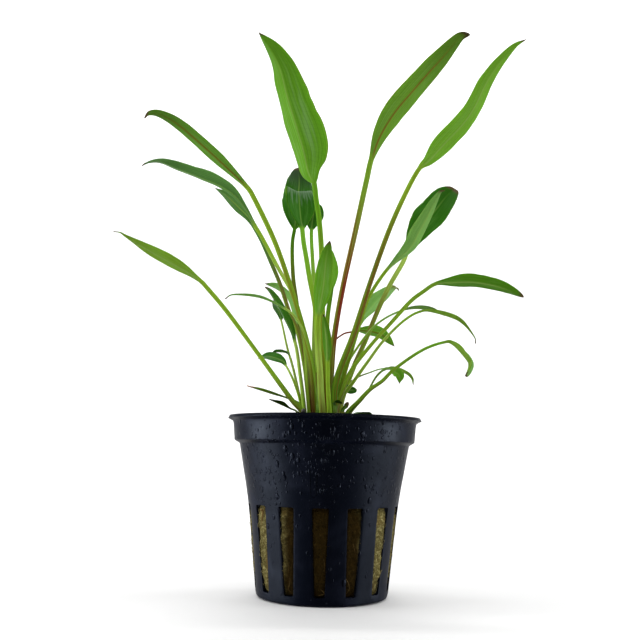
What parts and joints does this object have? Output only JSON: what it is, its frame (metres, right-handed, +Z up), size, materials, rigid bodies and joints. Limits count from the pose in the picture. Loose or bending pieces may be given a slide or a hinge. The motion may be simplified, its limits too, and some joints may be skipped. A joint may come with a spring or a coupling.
{
  "type": "potted cryptocoryne",
  "caption": "Aquarium cryptocoryne with long-stalked lance-shaped leaves, growing from a mineral wool plug in a tapered, slotted black net pot.",
  "frame": {"origin": "centre of the pot's flat underside, on the surface that it stands on", "axes": "+Z up along the pot's axis, +X to the viewer's right, -Y towards the viewer"},
  "size_m": [0.1182, 0.0902, 0.1539],
  "materials": {
    "pot_plastic": "blue-black moulded polypropylene, wet sheen",
    "mineral_wool": "matted fibre, olive from algae, brown patches",
    "rhizome": "matte brown root stock",
    "leaf_green": "satin leaf skin, deep green above, bright green below, reddish midribs and stalks",
    "old_leaf": "dull olive brown, half dry"
  },
  "bodies": {
    "root": {"leaf_back_oval": "leaf_green", "leaf_back_rounded": "leaf_green", "leaf_back_small": "leaf_green", "leaf_centre_bright": "leaf_green", "leaf_centre_dark": "leaf_green", "leaf_centre_low": "leaf_green", "leaf_crown_folded": "leaf_green", "leaf_crown_right": "leaf_green", "leaf_far_left": "leaf_green", "leaf_far_right_tall": "leaf_green", "leaf_inner_left_bright": "leaf_green", "leaf_inner_left_dark": "leaf_green", "leaf_inner_left_grey": "leaf_green", "leaf_left_behind": "leaf_green", "leaf_left_folded": "leaf_green", "leaf_left_thin_arch": "leaf_green", "leaf_low_back": "leaf_green", "leaf_low_left_dark": "leaf_green", "leaf_low_left_edge_on": "leaf_green", "leaf_low_left_pink": "leaf_green", "leaf_low_left_spotted": "leaf_green", "leaf_low_right_small": "leaf_green", "leaf_low_right_thin": "leaf_green", "leaf_mid_right": "leaf_green", "leaf_mid_right_curled": "leaf_green", "leaf_right_arching": "leaf_green", "leaf_right_dark": "leaf_green", "leaf_right_drooping": "leaf_green", "leaf_right_hooked": "leaf_green", "leaf_right_narrow": "leaf_green", "leaf_right_olive": "leaf_green", "leaf_tall_front": "leaf_green", "leaf_tall_right": "leaf_green", "leaf_upper_left": "leaf_green", "mineral_wool": "mineral_wool", "net_pot": "pot_plastic", "old_sheath_right": "old_leaf", "rhizome_back": "rhizome", "rhizome_front": "rhizome", "rhizome_middle": "rhizome", "scale_leaf_centre": "old_leaf"}
  },
  "joints": []
}
